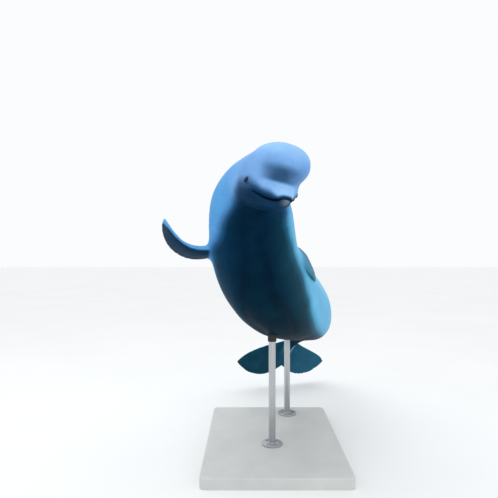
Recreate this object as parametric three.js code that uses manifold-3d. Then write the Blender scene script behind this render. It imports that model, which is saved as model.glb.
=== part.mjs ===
// A life-size beluga whale that rises towards the viewer with its head bent forward and turned to its left,
// held on a plain display stand. Millimetres, +Z up. The viewer stands at -Y and looks along +Y.
// The origin is the middle of the base's underside.
import * as THREE from "three";
import { mergeVertices } from "three/addons/utils/BufferGeometryUtils.js";
import Module from "manifold-3d";

const wasm = await Module();
wasm.setup();

// Driving dimensions. The whale is first modelled straight: x runs back from the beak's tip, y to the whale's
// left and z up its back. The pose then bends it along its spine.
const SPINE_LENGTH = 4200;
const GAP = 0.3;
const RING_SIDES = 28;
const TRUNK_STEP = 80;
const HEAD_STEP = 21;
const HEAD_BOX = { low: [-50, -290, -290], high: [600, 290, 290] };

// Stations along the body where one named piece ends and the next begins
const CUT = {
  neck: 520, chest: 760, abdomen: 1420, loin: 2080, tail_stock: 2740, tail_end: 3360, flukes: 3800,
};

// The body's half width, its height over the spine line and its depth under it, along x
const HALF_WIDTH = smoothCurve([
  [110, 20], [200, 98], [300, 156], [420, 194], [560, 240], [760, 308], [1000, 326], [1400, 336],
  [1750, 336], [2150, 305], [2550, 236], [2950, 160], [3300, 100], [3550, 66], [3700, 52], [3850, 34],
]);
const BACK_HEIGHT = smoothCurve([
  [110, 20], [200, 118], [300, 168], [420, 187], [560, 202], [760, 240], [1000, 285], [1400, 322],
  [1750, 330], [2150, 312], [2550, 268], [2950, 214], [3300, 158], [3550, 104], [3700, 62], [3850, 24],
]);
const BELLY_DEPTH = smoothCurve([
  [110, 20], [200, 112], [300, 165], [420, 190], [560, 204], [760, 240], [1000, 292], [1400, 340],
  [1750, 338], [2150, 300], [2550, 232], [2950, 172], [3300, 122], [3550, 82], [3700, 52], [3850, 22],
]);
const SECTION_POWER = 2.15;
const RIDGE = { from: 1700, to: 2450, rise: 200, fall: 250, height: 22, halfWidth: 34 };

// The pose: the angle of the tailward direction from straight down towards +Y, its lean towards +X, and the
// body's roll about it, in degrees
const PITCH = smoothCurve([
  [0, 104], [340, 100], [560, 60], [780, 36], [1000, 26], [1250, 38], [1500, 56], [1900, 69], [2600, 70],
  [3150, 70], [3550, 44], [3900, 20],
]);
const YAW = smoothCurve([
  [0, -24], [300, -24], [560, -15], [820, 3], [1000, 6], [1250, 18], [1500, 25], [2200, 23], [2900, 8],
  [3400, -26], [3900, -10],
]);
const ROLL = smoothCurve([[0, 17], [300, 17], [660, 0], [3000, 0], [3900, -15]]);
const CHEST_AT = 1000;
const CHEST_PLACE = new THREE.Vector3(-172, -508, 1738);
// The head and neck lie this much higher than the spine line, so that the throat isn't folded by the bend
const NECK_RAISE = { height: 35, from: 700, to: 1100 };

// A smooth curve through [at, value] keys that never overshoots them
function smoothCurve(keys) {
  const slopes = keys.slice(1).map(([x, v], i) => (v - keys[i][1]) / (x - keys[i][0]));
  const tangents = slopes.map((s, i) => {
    if (i === 0) return s;
    return slopes[i - 1] * s <= 0 ? 0 : 2 / (1 / slopes[i - 1] + 1 / s);
  });
  tangents.push(slopes[slopes.length - 1]);
  const first = keys[0][0];
  const last = keys[keys.length - 1][0];
  return (x) => {
    const at = Math.min(Math.max(x, first), last);
    let i = 0;
    while (i < keys.length - 2 && at > keys[i + 1][0]) i++;
    const width = keys[i + 1][0] - keys[i][0];
    const t = (at - keys[i][0]) / width;
    const t2 = t * t;
    const t3 = t2 * t;
    const ends = keys[i][1] * (2 * t3 - 3 * t2 + 1) + keys[i + 1][1] * (3 * t2 - 2 * t3);
    return ends + width * (tangents[i] * (t3 - 2 * t2 + t) + tangents[i + 1] * (t3 - t2));
  };
}

const smoothStep = (from, to, x) => {
  const t = Math.min(Math.max((x - from) / (to - from), 0), 1);
  return t * t * (3 - 2 * t);
};

// The spine: its place and its three directions every SPINE_STEP along the body
const SPINE_STEP = 10;

function tailward(x) {
  const pitch = THREE.MathUtils.degToRad(PITCH(x));
  const yaw = THREE.MathUtils.degToRad(YAW(x));
  return new THREE.Vector3(
    Math.sin(yaw), Math.cos(yaw) * Math.sin(pitch), -Math.cos(yaw) * Math.cos(pitch),
  );
}

function makeSpine() {
  const stations = [];
  const place = new THREE.Vector3();
  for (let x = 0; x <= SPINE_LENGTH; x += SPINE_STEP) {
    const back = tailward(x);
    const left = new THREE.Vector3(1, 0, 0).addScaledVector(back, -back.x).normalize();
    left.applyAxisAngle(back, THREE.MathUtils.degToRad(ROLL(x)));
    const up = new THREE.Vector3().crossVectors(left, back).normalize();
    stations.push({ place: place.clone(), back, left, up });
    place.addScaledVector(tailward(x + SPINE_STEP / 2), SPINE_STEP);
  }
  const shift = CHEST_PLACE.clone().sub(stations[CHEST_AT / SPINE_STEP].place);
  stations.forEach((s) => s.place.add(shift));
  return stations;
}

const SPINE = makeSpine();

// Where a point of the straight whale comes to lie in the pose
function posed(x, y, z) {
  const at = Math.min(Math.max(x / SPINE_STEP, 0), SPINE.length - 1);
  const i = Math.min(Math.floor(at), SPINE.length - 2);
  const share = at - i;
  const mix = (key) => SPINE[i][key].clone().lerp(SPINE[i + 1][key], share);
  const beyond = x - at * SPINE_STEP;
  const raise = NECK_RAISE.height * (1 - smoothStep(NECK_RAISE.from, NECK_RAISE.to, x));
  return mix("place")
    .addScaledVector(mix("back"), beyond)
    .addScaledVector(mix("left").normalize(), y)
    .addScaledVector(mix("up").normalize(), z + raise);
}

// A closed solid from corner points and triangles, with its faces turned outwards
function solidFrom(points, triangles) {
  const geometry = new THREE.BufferGeometry().setFromPoints(points);
  geometry.setIndex(triangles.flat());
  return solidOf(geometry);
}

function solidOf(geometry) {
  const plain = new THREE.BufferGeometry();
  plain.setAttribute("position", geometry.getAttribute("position"));
  plain.setIndex(geometry.index);
  const merged = mergeVertices(plain, 1e-3);
  const triVerts = new Uint32Array(merged.index.array);
  const vertProperties = new Float32Array(merged.attributes.position.array);
  let solid = new wasm.Manifold(new wasm.Mesh({ numProp: 3, vertProperties, triVerts }));
  if (solid.volume() < 0) {
    for (let i = 0; i < triVerts.length; i += 3) {
      [triVerts[i + 1], triVerts[i + 2]] = [triVerts[i + 2], triVerts[i + 1]];
    }
    solid = new wasm.Manifold(new wasm.Mesh({ numProp: 3, vertProperties, triVerts }));
  }
  return solid;
}

// The largest closed body of a solid
function largest(solid) {
  return solid.decompose().reduce((a, b) => (a.volume() > b.volume() ? a : b));
}

// A solid over rings of equally many points, closed by a fan at each end
function loft(rings) {
  const sides = rings[0].length;
  const points = rings.flat();
  const triangles = [];
  for (let i = 0; i + 1 < rings.length; i++) {
    for (let j = 0; j < sides; j++) {
      const a = i * sides + j;
      const b = i * sides + ((j + 1) % sides);
      triangles.push([a, b, b + sides], [a, b + sides, a + sides]);
    }
  }
  [0, rings.length - 1].forEach((end) => {
    const centre = rings[end].reduce((sum, p) => sum.add(p), new THREE.Vector3());
    const hub = points.push(centre.divideScalar(sides)) - 1;
    for (let j = 0; j < sides; j++) {
      const a = end * sides + j;
      const b = end * sides + ((j + 1) % sides);
      triangles.push(end === 0 ? [b, a, hub] : [a, b, hub]);
    }
  });
  return solidFrom(points, triangles);
}

// The low ridge that a beluga has on its back in place of a fin
function ridgeHeight(x, y) {
  const rise = smoothStep(RIDGE.from, RIDGE.from + RIDGE.rise, x);
  const fall = 1 - smoothStep(RIDGE.to - RIDGE.fall, RIDGE.to, x);
  return RIDGE.height * rise * fall * Math.exp(-((y / RIDGE.halfWidth) ** 2));
}

// One cross-section of the straight body, made larger all round by grow
function trunkRing(x, grow) {
  const ring = [];
  for (let i = 0; i < RING_SIDES; i++) {
    const angle = ((i + 0.5) / RING_SIDES) * 2 * Math.PI;
    const across = Math.cos(angle);
    const rise = Math.sin(angle);
    const power = 2 / SECTION_POWER;
    const y = (HALF_WIDTH(x) + grow) * Math.sign(across) * Math.abs(across) ** power;
    const height = (rise > 0 ? BACK_HEIGHT(x) : BELLY_DEPTH(x)) + grow;
    const z = height * Math.sign(rise) * Math.abs(rise) ** power;
    ring.push([x, y, z + (rise > 0 ? ridgeHeight(x, y) : 0)]);
  }
  return ring;
}

// A length of the body between two stations, half a gap inside each
function trunkPiece(from, to, grow = 0) {
  const start = from + GAP / 2;
  const span = to - from - GAP;
  const steps = Math.max(2, Math.round(span / TRUNK_STEP));
  const rings = [];
  for (let i = 0; i <= steps; i++) {
    const further = grow * (i === 0 ? -1 : i === steps ? 1 : 0);
    rings.push(trunkRing(start + (span * i) / steps + further, grow).map((p) => posed(...p)));
  }
  return loft(rings);
}

// Head: rounded forms that melt into each other, each a field that is negative inside. A power over 2 makes a
// form squarer, and under is its height below its middle where that differs.

const MELON = { x: 186, z: 96, length: 158, width: 168, height: 129, under: 108, power: 2.3 };
const CHEEK = { x: 315, y: 98, z: -72, length: 130, width: 84, height: 78 };
const BROW = { x: 266, y: 136, z: -55, length: 60, width: 34, height: 38 };
const EYE = { x: 248, z: -57, radius: 20, sunk: 11, lid: 16, lidTube: 6, lidForward: 2, stretch: 1.25 };
// How far the melt reaches between the forms
const REACH = { cheek: 60, brow: 30, melon: 100, lips: 8, snout: 38 };
// The skull's form starts here, and the head's field ends this far behind the neck's cut
const SKULL_FROM = 110;
const FIELD_BEYOND = 40;
const SNOUT_POWER = 2.3;

// Beak and lower jaw: half width, half height and middle height along x
const BEAK = {
  from: 12,
  width: smoothCurve([[12, 6], [20, 36], [40, 55], [66, 70], [110, 90], [180, 122], [280, 158], [360, 150]]),
  height: smoothCurve([[12, 4], [20, 25], [40, 43], [66, 54], [110, 62], [180, 65], [280, 64], [360, 50]]),
  middle: smoothCurve([[12, -91], [40, -86], [66, -82], [110, -77], [180, -74], [280, -66], [360, -50]]),
};
const JAW = {
  from: -2,
  width: smoothCurve([
    [-2, 5], [6, 22], [22, 33], [54, 46], [90, 60], [150, 82], [220, 112], [320, 148], [420, 166],
  ]),
  height: smoothCurve([
    [-2, 4], [6, 19], [22, 27], [54, 33], [90, 39], [150, 48], [220, 62], [320, 90], [420, 110],
  ]),
  middle: smoothCurve([
    [-2, -115], [22, -124], [80, -136], [140, -141], [220, -138], [320, -120], [420, -90],
  ]),
};

// Mouth: the height of the line between the lips along x, up to the corner, and the groove along it
const MOUTH = {
  from: -60, corner: 210, back: 330, lowest: -420, halfSpan: 320, groove: 12, depth: 18, narrowing: 90,
};
const MOUTH_SECTIONS = 16;
const MOUTH_LINE = smoothCurve([
  [-60, -100], [0, -102], [20, -111], [48, -127], [95, -135], [150, -131], [185, -121], [210, -111],
]);

// The blowhole's crescent on top of the head
const BLOWHOLE = { x: 392, radius: 30, tube: 6, arc: 150, sections: 14, sides: 8 };

const melt = (a, b, reach) => {
  const h = Math.max(reach - Math.abs(a - b), 0) / reach;
  return Math.min(a, b) - (h * h * reach) / 4;
};

function ovalField(x, y, z, form) {
  const [dx, dy, dz] = [x - form.x, y - (form.y ?? 0), z - form.z];
  const power = form.power ?? 2;
  const height = dz < 0 ? form.under ?? form.height : form.height;
  const shares = [dx / form.length, dy / form.width, dz / height].map((share) => Math.abs(share) ** power);
  const unit = (shares[0] + shares[1] + shares[2]) ** (1 / power);
  return (unit - 1) * Math.min(form.length, form.width, height);
}

function tubeField(x, y, z, halfWidth, height, power) {
  const unit = (Math.abs(y / halfWidth) ** power + Math.abs(z / height) ** power) ** (1 / power);
  return (unit - 1) * Math.min(halfWidth, height);
}

function snoutField(x, y, z, form) {
  const at = Math.max(x, form.from);
  const side = tubeField(x, y, z - form.middle(at), form.width(at), form.height(at), SNOUT_POWER);
  return Math.max(side, form.from - x);
}

function bodyField(x, y, z) {
  const height = z > 0 ? BACK_HEIGHT(x) : BELLY_DEPTH(x);
  return Math.max(tubeField(x, y, z, HALF_WIDTH(x), height, SECTION_POWER), SKULL_FROM - x);
}

function headField(x, y, z) {
  const side = Math.abs(y);
  const skull = melt(bodyField(x, y, z), ovalField(x, side, z, CHEEK), REACH.cheek);
  const brow = melt(skull, ovalField(x, side, z, BROW), REACH.brow);
  const crown = melt(brow, ovalField(x, y, z, MELON), REACH.melon);
  const mouth = melt(snoutField(x, y, z, BEAK), snoutField(x, y, z, JAW), REACH.lips);
  return Math.max(melt(crown, mouth, REACH.snout), x - CUT.neck - FIELD_BEYOND);
}

// The surface where a field is zero, as a net of quads with one point in each grid cell that it passes
function netOf(field, low, high, step) {
  const count = low.map((l, i) => Math.ceil((high[i] - l) / step) + 1);
  const id = (i, j, k) => (i * count[1] + j) * count[2] + k;
  const values = new Float64Array(count[0] * count[1] * count[2]);
  for (let i = 0; i < count[0]; i++) {
    for (let j = 0; j < count[1]; j++) {
      for (let k = 0; k < count[2]; k++) {
        values[id(i, j, k)] = field(low[0] + i * step, low[1] + j * step, low[2] + k * step);
      }
    }
  }
  const points = [];
  const cellPoint = new Map();
  const slope = (p, f) => p.map((c, n) => field(...p.map((v, m) => (m === n ? c + 1 : v))) - f);
  const ontoSurface = (p) => {
    const f = field(...p);
    const way = slope(p, f);
    const reach = Math.max(way.reduce((sum, v) => sum + v * v, 0), 0.05);
    return p.map((c, n) => c - Math.min(Math.max((f * way[n]) / reach, -step / 3), step / 3));
  };
  const corners = [...Array(8).keys()].map((c) => [c & 1, (c >> 1) & 1, c >> 2]);
  const areNeighbours = (a, b) => a.reduce((s, v, n) => s + Math.abs(v - b[n]), 0) === 1;
  const edges = corners.flatMap((a, i) =>
    corners.slice(i + 1).filter((b) => areNeighbours(a, b)).map((b) => [a, b]));
  for (let i = 0; i + 1 < count[0]; i++) {
    for (let j = 0; j + 1 < count[1]; j++) {
      for (let k = 0; k + 1 < count[2]; k++) {
        const sum = [0, 0, 0];
        let crossings = 0;
        edges.forEach(([a, b]) => {
          const va = values[id(i + a[0], j + a[1], k + a[2])];
          const vb = values[id(i + b[0], j + b[1], k + b[2])];
          if (va < 0 === vb < 0) return;
          const t = va / (va - vb);
          sum.forEach((_, n) => { sum[n] += a[n] + (b[n] - a[n]) * t; });
          crossings++;
        });
        if (!crossings) continue;
        const cell = [i, j, k].map((c, n) => low[n] + (c + sum[n] / crossings) * step);
        cellPoint.set(id(i, j, k), points.push(ontoSurface(ontoSurface(cell))) - 1);
      }
    }
  }
  const triangles = [];
  for (let i = 1; i + 1 < count[0]; i++) {
    for (let j = 1; j + 1 < count[1]; j++) {
      for (let k = 1; k + 1 < count[2]; k++) {
        const here = values[id(i, j, k)] < 0;
        [[1, 0, 0], [0, 1, 0], [0, 0, 1]].forEach((axis, n) => {
          const there = values[id(i + axis[0], j + axis[1], k + axis[2])] < 0;
          if (here === there) return;
          const u = [0, 0, 0];
          const v = [0, 0, 0];
          u[(n + 1) % 3] = 1;
          v[(n + 2) % 3] = 1;
          const around = [[0, 0], [1, 0], [1, 1], [0, 1]].map(([a, b]) =>
            cellPoint.get(id(i - a * u[0] - b * v[0], j - a * u[1] - b * v[1], k - a * u[2] - b * v[2])));
          if (!here) around.reverse();
          triangles.push([around[0], around[1], around[2]], [around[0], around[2], around[3]]);
        });
      }
    }
  }
  return { points, triangles };
}

// A solid of the straight whale moved into the pose, corner by corner
function posedSolid(solid) {
  const mesh = solid.getMesh();
  const points = [];
  for (let i = 0; i < mesh.numVert; i++) {
    const at = i * mesh.numProp;
    points.push(posed(...mesh.vertProperties.subarray(at, at + 3)));
  }
  const triangles = [];
  for (let i = 0; i < mesh.triVerts.length; i += 3) {
    triangles.push([...mesh.triVerts.subarray(i, i + 3)]);
  }
  return solidFrom(points, triangles);
}

function boxBetween(low, high) {
  const size = high.map((h, i) => h - low[i]);
  const box = new THREE.BoxGeometry(...size);
  box.translate(...low.map((l, i) => l + size[i] / 2));
  return solidOf(box);
}

function netSolid(field, step) {
  const net = netOf(field, HEAD_BOX.low, HEAD_BOX.high, step);
  return largest(solidFrom(net.points.map((p) => new THREE.Vector3(...p)), net.triangles));
}

// A prism across the head over an outline of [x, z] points
function crossPrism(outline, halfSpan) {
  const side = (y) => outline.map(([x, z]) => new THREE.Vector3(x, y, z));
  const faces = THREE.ShapeUtils.triangulateShape(outline.map(([x, z]) => new THREE.Vector2(x, z)), []);
  const count = outline.length;
  const triangles = faces.flatMap(([a, b, c]) => [[a, b, c], [c + count, b + count, a + count]]);
  for (let i = 0; i < count; i++) {
    const next = (i + 1) % count;
    triangles.push([next, i, i + count], [next, i + count, next + count]);
  }
  return solidFrom([...side(-halfSpan), ...side(halfSpan)], triangles);
}

function mouthLinePoints(offset) {
  const points = [];
  for (let i = 0; i <= MOUTH_SECTIONS; i++) {
    const x = MOUTH.from + ((MOUTH.corner - MOUTH.from) * i) / MOUTH_SECTIONS;
    points.push([x, MOUTH_LINE(x) + offset(x)]);
  }
  return points;
}

// All that lies under the mouth line, made larger by grow
function underMouth(grow) {
  const line = mouthLinePoints(() => grow);
  line[line.length - 1][0] += grow;
  const outline = [[MOUTH.from, MOUTH.lowest], ...line, [MOUTH.back + grow, MOUTH.lowest]];
  return crossPrism(outline.reverse(), MOUTH.halfSpan);
}

// The groove between the lips: a slot along the mouth line down to a core that lies deeper in the head
function lipGroove() {
  const narrowed = (x) => 0.75 * smoothStep(MOUTH.corner - MOUTH.narrowing, MOUTH.corner, x);
  const half = (x) => (MOUTH.groove / 2) * (1 - narrowed(x));
  const top = mouthLinePoints(half);
  const bottom = mouthLinePoints((x) => -half(x));
  const slot = crossPrism([...bottom, ...top.reverse()], MOUTH.halfSpan);
  return slot.subtract(netSolid((x, y, z) => headField(x, y, z) + MOUTH.depth, HEAD_STEP));
}

// A ring, a ball or a crescent at a place on the head, its axis along a direction
function placed(geometry, place, axis) {
  geometry.applyQuaternion(new THREE.Quaternion().setFromUnitVectors(new THREE.Vector3(0, 0, 1), axis));
  geometry.translate(...place);
  return solidOf(geometry);
}

// How far out the skin lies at the eye
function skinAtEye() {
  const halvings = 30;
  let [inside, outside] = [0, HEAD_BOX.high[1]];
  for (let i = 0; i < halvings; i++) {
    const middle = (inside + outside) / 2;
    if (headField(EYE.x, middle, EYE.z) < 0) inside = middle;
    else outside = middle;
  }
  return inside;
}

function eyeBall(side, radius) {
  const place = [EYE.x, side * (skinAtEye() - EYE.sunk), EYE.z];
  return placed(new THREE.SphereGeometry(radius, 20, 14), place, new THREE.Vector3(0, side, 0));
}

function eyeLids(side) {
  const ring = new THREE.TorusGeometry(EYE.lid, EYE.lidTube, 10, 24);
  ring.scale(EYE.stretch, 1, 1);
  const axis = new THREE.Vector3(-0.22, side, 0.05).normalize();
  return placed(ring, [EYE.x - EYE.lidForward, side * skinAtEye(), EYE.z], axis);
}

function blowhole() {
  const rings = [];
  for (let i = 0; i <= BLOWHOLE.sections; i++) {
    const along = (2 * i) / BLOWHOLE.sections - 1;
    const turn = THREE.MathUtils.degToRad((BLOWHOLE.arc / 2) * along);
    const tube = BLOWHOLE.tube * (1 - 0.75 * along ** 2);
    const inward = new THREE.Vector3(-Math.cos(turn), Math.sin(turn), 0);
    const centre = new THREE.Vector3(BLOWHOLE.x - BLOWHOLE.radius, 0, BACK_HEIGHT(BLOWHOLE.x) - 1);
    centre.addScaledVector(inward, -BLOWHOLE.radius);
    rings.push([...Array(BLOWHOLE.sides).keys()].map((j) => {
      const angle = (2 * Math.PI * j) / BLOWHOLE.sides;
      const across = centre.clone().addScaledVector(inward, tube * Math.cos(angle));
      return across.setZ(across.z + 2 * BLOWHOLE.tube * Math.sin(angle));
    }));
  }
  return loft(rings);
}

// The head with its lids, sockets and blowhole, and the lower jaw that the mouth line parts from it
function headSolids() {
  const front = boxBetween([-100, -400, -400], [CUT.neck - GAP / 2, 400, 400]);
  let whole = netSolid(headField, HEAD_STEP).intersect(front).subtract(blowhole());
  [-1, 1].forEach((side) => {
    whole = whole.add(eyeLids(side)).subtract(eyeBall(side, EYE.radius + GAP));
  });
  whole = largest(whole).subtract(lipGroove());
  return {
    head: largest(whole.subtract(underMouth(GAP / 2))),
    jaw: largest(whole.intersect(underMouth(-GAP / 2))),
  };
}

// Flippers: a paddle along an arc, with an airfoil section at each station

const FLIPPER = { length: 485, sections: 14, sides: 14 };
const FLIPPER_CHORD = smoothCurve([
  [0, 190], [0.15, 215], [0.4, 262], [0.65, 268], [0.85, 200], [0.95, 125], [1, 40],
]);
const FLIPPER_THICKNESS = smoothCurve([[0, 86], [0.15, 66], [0.4, 48], [0.7, 32], [0.9, 20], [1, 8]]);
const FLIPPER_SWEEP = smoothCurve([[0, 0], [0.4, 8], [0.7, 30], [1, 92]]);

// Half the thickness of a fin across its chord, from t 0 at the leading edge to 1 at the trailing one: full
// towards the front and thin behind, as a share of the fin's thickness
const FIN = { fullness: 1.25, taper: 0.25, edge: 0.026 };
const finProfile = (t) => FIN.fullness * Math.sqrt(t) * (1 - t) * (1 - FIN.taper * t) + FIN.edge * (1 - t);

function finRing(centre, chordwise, normal, chord, thickness, sides) {
  const ring = [];
  const half = sides / 2;
  const point = (t, side) =>
    centre.clone().addScaledVector(chordwise, (0.5 - t) * chord)
      .addScaledVector(normal, side * finProfile(t) * thickness);
  const chordAt = (i) => (1 - Math.cos((Math.PI * (i + 0.5)) / half)) / 2;
  for (let i = 0; i < half; i++) ring.push(point(chordAt(i), 1));
  for (let i = half - 1; i >= 0; i--) ring.push(point(chordAt(i), -1));
  return ring;
}

// root: where it leaves the body; out: its first direction; bend: the direction that it curls to;
// curl: by how many degrees; lead: the direction of its leading edge
function flipperSolid({ root, out, bend, curl, lead, sink }) {
  const rings = [];
  const place = root.clone().addScaledVector(out, -sink);
  const step = (FLIPPER.length + sink) / FLIPPER.sections;
  const hinge = new THREE.Vector3().crossVectors(out, bend).normalize();
  const level = lead.clone().addScaledVector(out, -lead.dot(out)).normalize();
  for (let i = 0; i <= FLIPPER.sections; i++) {
    const along = (i * step - sink) / FLIPPER.length;
    const angle = THREE.MathUtils.degToRad(curl) * smoothStep(-0.1, 1.15, along);
    const forward = out.clone().applyAxisAngle(hinge, angle);
    const edge = level.clone().applyAxisAngle(hinge, angle);
    const normal = new THREE.Vector3().crossVectors(forward, edge);
    const share = Math.max(along, 0);
    const centre = place.clone().addScaledVector(edge, -FLIPPER_SWEEP(share));
    rings.push(finRing(centre, edge, normal, FLIPPER_CHORD(share), FLIPPER_THICKNESS(share), FLIPPER.sides));
    place.addScaledVector(forward, step);
  }
  return loft(rings);
}

// Flukes: half spans from the middle line to each tip, lying in the plane of the body's left and back

const FLUKE = { halfSpan: 560, sections: 14, sides: 14 };
const FLUKE_LEAD = smoothCurve([
  [0, 3540], [0.1, 3585], [0.25, 3640], [0.5, 3715], [0.75, 3805], [0.92, 3885], [1, 3945],
]);
const FLUKE_TRAIL = smoothCurve([
  [0, 3990], [0.05, 4012], [0.2, 4080], [0.45, 4118], [0.7, 4095], [0.9, 4020], [1, 3965],
]);
const FLUKE_THICKNESS = smoothCurve([[0, 74], [0.12, 62], [0.35, 44], [0.7, 26], [0.92, 14], [1, 6]]);
const FLUKE_LIFT = smoothCurve([[0, 0], [0.5, 6], [1, 40]]);

function flukeSolid(side) {
  const rings = [];
  for (let i = 0; i <= FLUKE.sections; i++) {
    const share = i / FLUKE.sections;
    const lead = FLUKE_LEAD(share);
    const trail = FLUKE_TRAIL(share);
    const y = side * (GAP / 2 + share * FLUKE.halfSpan);
    const centre = new THREE.Vector3((lead + trail) / 2, y, FLUKE_LIFT(share));
    const forward = new THREE.Vector3(-1, 0, 0);
    const up = new THREE.Vector3(0, 0, 1);
    const flat = finRing(centre, forward, up, trail - lead, FLUKE_THICKNESS(share), FLUKE.sides);
    rings.push(flat.map((p) => posed(p.x, p.y, p.z)));
  }
  return loft(rings);
}

// Stand: a flat base, and two rods with a flange that reach up to the belly

const BASE = { length: 1500, width: 1100, height: 80, corner: 40, cornerSteps: 6, bevel: 6 };
const ROD = { radius: 28, flange: 85, flangeHeight: 14, sides: 28 };
const ROD_AT = { front: [-10, -160], rear: [170, 560] };

function baseSolid() {
  const [w, l, r] = [BASE.width / 2, BASE.length / 2, BASE.corner];
  const outline = [];
  [[w - r, l - r], [r - w, l - r], [r - w, r - l], [w - r, r - l]].forEach(([x, y], quarter) => {
    for (let i = 0; i <= BASE.cornerSteps; i++) {
      const angle = (Math.PI / 2) * (quarter + i / BASE.cornerSteps);
      outline.push([x + r * Math.cos(angle), y + r * Math.sin(angle)]);
    }
  });
  const ring = (z, inset) => outline.map(([x, y]) =>
    new THREE.Vector3(x * (1 - inset / w), y * (1 - inset / l), z));
  return loft([ring(0, 0), ring(BASE.height - BASE.bevel, 0), ring(BASE.height, BASE.bevel)]);
}

function upright(x, y, from, to, radius) {
  const post = new THREE.CylinderGeometry(radius, radius, to - from, ROD.sides);
  post.rotateX(Math.PI / 2);
  post.translate(x, y, (from + to) / 2);
  return solidOf(post);
}

function flangeSolid([x, y]) {
  const plate = upright(x, y, BASE.height + GAP, BASE.height + GAP + ROD.flangeHeight, ROD.flange);
  return plate.subtract(upright(x, y, 0, 2 * BASE.height + ROD.flangeHeight, ROD.radius + GAP));
}

function rodSolid([x, y], trunk) {
  return largest(upright(x, y, BASE.height + GAP, CHEST_PLACE.z, ROD.radius).subtract(trunk));
}

// The group: each solid becomes a named mesh with its own material

const group = new THREE.Group();

function addMesh(name, solid, color, roughness, metalness = 0) {
  const mesh = solid.getMesh();
  const geometry = new THREE.BufferGeometry();
  geometry.setAttribute("position", new THREE.BufferAttribute(new Float32Array(mesh.vertProperties), 3));
  geometry.setIndex(new THREE.BufferAttribute(new Uint32Array(mesh.triVerts), 1));
  const material = new THREE.MeshStandardMaterial({ color, roughness, metalness });
  const node = new THREE.Mesh(geometry, material);
  node.name = name;
  group.add(node);
}

const SKIN = "#8fb9dd";
const EYE_COLOR = "#0b0d12";
const BASE_COLOR = "#c8cac8";
const ROD_COLOR = "#b4b8bb";

const { head, jaw } = headSolids();
addMesh("head", posedSolid(head), SKIN, 0.4);
addMesh("lower_jaw", posedSolid(jaw), SKIN, 0.4);
addMesh("eye_left", posedSolid(eyeBall(1, EYE.radius)), EYE_COLOR, 0.1);
addMesh("eye_right", posedSolid(eyeBall(-1, EYE.radius)), EYE_COLOR, 0.1);

const names = Object.keys(CUT);
let grownTrunk = null;
for (let i = 0; i + 1 < names.length; i++) {
  const [from, to] = [CUT[names[i]], CUT[names[i + 1]]];
  addMesh(names[i], trunkPiece(from, to), SKIN, 0.4);
  const grown = trunkPiece(from, to, 2 * GAP);
  grownTrunk = grownTrunk ? grownTrunk.add(grown) : grown;
}

addMesh("fluke_left", largest(flukeSolid(1).subtract(grownTrunk)), SKIN, 0.4);
addMesh("fluke_right", largest(flukeSolid(-1).subtract(grownTrunk)), SKIN, 0.4);

// A point inside the trunk's skin, at an angle from the whale's left towards its back
function trunkPoint(x, angle, depth) {
  const a = THREE.MathUtils.degToRad(angle);
  const height = Math.sin(a) > 0 ? BACK_HEIGHT(x) : BELLY_DEPTH(x);
  return posed(x, HALF_WIDTH(x) * Math.cos(a) * depth, height * Math.sin(a) * depth);
}

addMesh("flipper_right", largest(flipperSolid({
  root: trunkPoint(1035, 188, 0.95), out: new THREE.Vector3(-1, -0.1, -0.2).normalize(),
  bend: new THREE.Vector3(0, 0, 1), curl: 112,
  lead: new THREE.Vector3(0, -0.9, 0.4).normalize(), sink: 60,
}).subtract(grownTrunk)), SKIN, 0.4);
addMesh("flipper_left", largest(flipperSolid({
  root: trunkPoint(1150, -2, 0.88), out: new THREE.Vector3(0.58, 0.68, -0.44).normalize(),
  bend: new THREE.Vector3(-0.25, 0.85, -0.4).normalize(), curl: 20,
  lead: new THREE.Vector3(0.12, -0.66, -0.74).normalize(), sink: 60,
}).subtract(grownTrunk)), SKIN, 0.4);

addMesh("stand_base", baseSolid(), BASE_COLOR, 0.5);
addMesh("stand_rod_front", rodSolid(ROD_AT.front, grownTrunk), ROD_COLOR, 0.3, 1);
addMesh("stand_rod_rear", rodSolid(ROD_AT.rear, grownTrunk), ROD_COLOR, 0.3, 1);
addMesh("stand_flange_front", flangeSolid(ROD_AT.front), ROD_COLOR, 0.3, 1);
addMesh("stand_flange_rear", flangeSolid(ROD_AT.rear), ROD_COLOR, 0.3, 1);

export default group;
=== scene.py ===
# A life-size beluga whale on a display stand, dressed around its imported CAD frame.
# Metres in the scene, +Z up, with the viewer at -Y. The whale's own sizes are in millimetres along its
# straight body: x runs back from the beak's tip, y to the whale's left and z up its back.
import math

import bpy
import numpy as np
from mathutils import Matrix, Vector
from mathutils.bvhtree import BVHTree


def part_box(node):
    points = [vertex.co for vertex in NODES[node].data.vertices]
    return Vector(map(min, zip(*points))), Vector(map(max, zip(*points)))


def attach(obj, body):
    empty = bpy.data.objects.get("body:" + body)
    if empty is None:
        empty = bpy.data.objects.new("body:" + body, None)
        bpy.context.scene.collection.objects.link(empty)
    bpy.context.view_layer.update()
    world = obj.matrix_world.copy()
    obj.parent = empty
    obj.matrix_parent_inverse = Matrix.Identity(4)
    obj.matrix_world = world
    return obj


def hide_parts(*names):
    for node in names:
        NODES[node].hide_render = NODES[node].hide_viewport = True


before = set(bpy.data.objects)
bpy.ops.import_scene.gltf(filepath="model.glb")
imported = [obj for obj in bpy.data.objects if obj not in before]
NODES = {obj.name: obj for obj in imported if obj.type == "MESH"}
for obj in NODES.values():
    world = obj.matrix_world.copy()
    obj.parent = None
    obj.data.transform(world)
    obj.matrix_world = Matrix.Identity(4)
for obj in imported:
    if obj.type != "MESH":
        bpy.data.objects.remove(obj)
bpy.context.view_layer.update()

MM = 0.001
# A distance in millimetres that no form reaches
FAR = 1000
FLESH = [
    "head", "lower_jaw", "neck", "chest", "abdomen", "loin", "tail_stock", "tail_end",
    "fluke_left", "fluke_right", "flipper_left", "flipper_right",
]


# Small helpers


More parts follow.
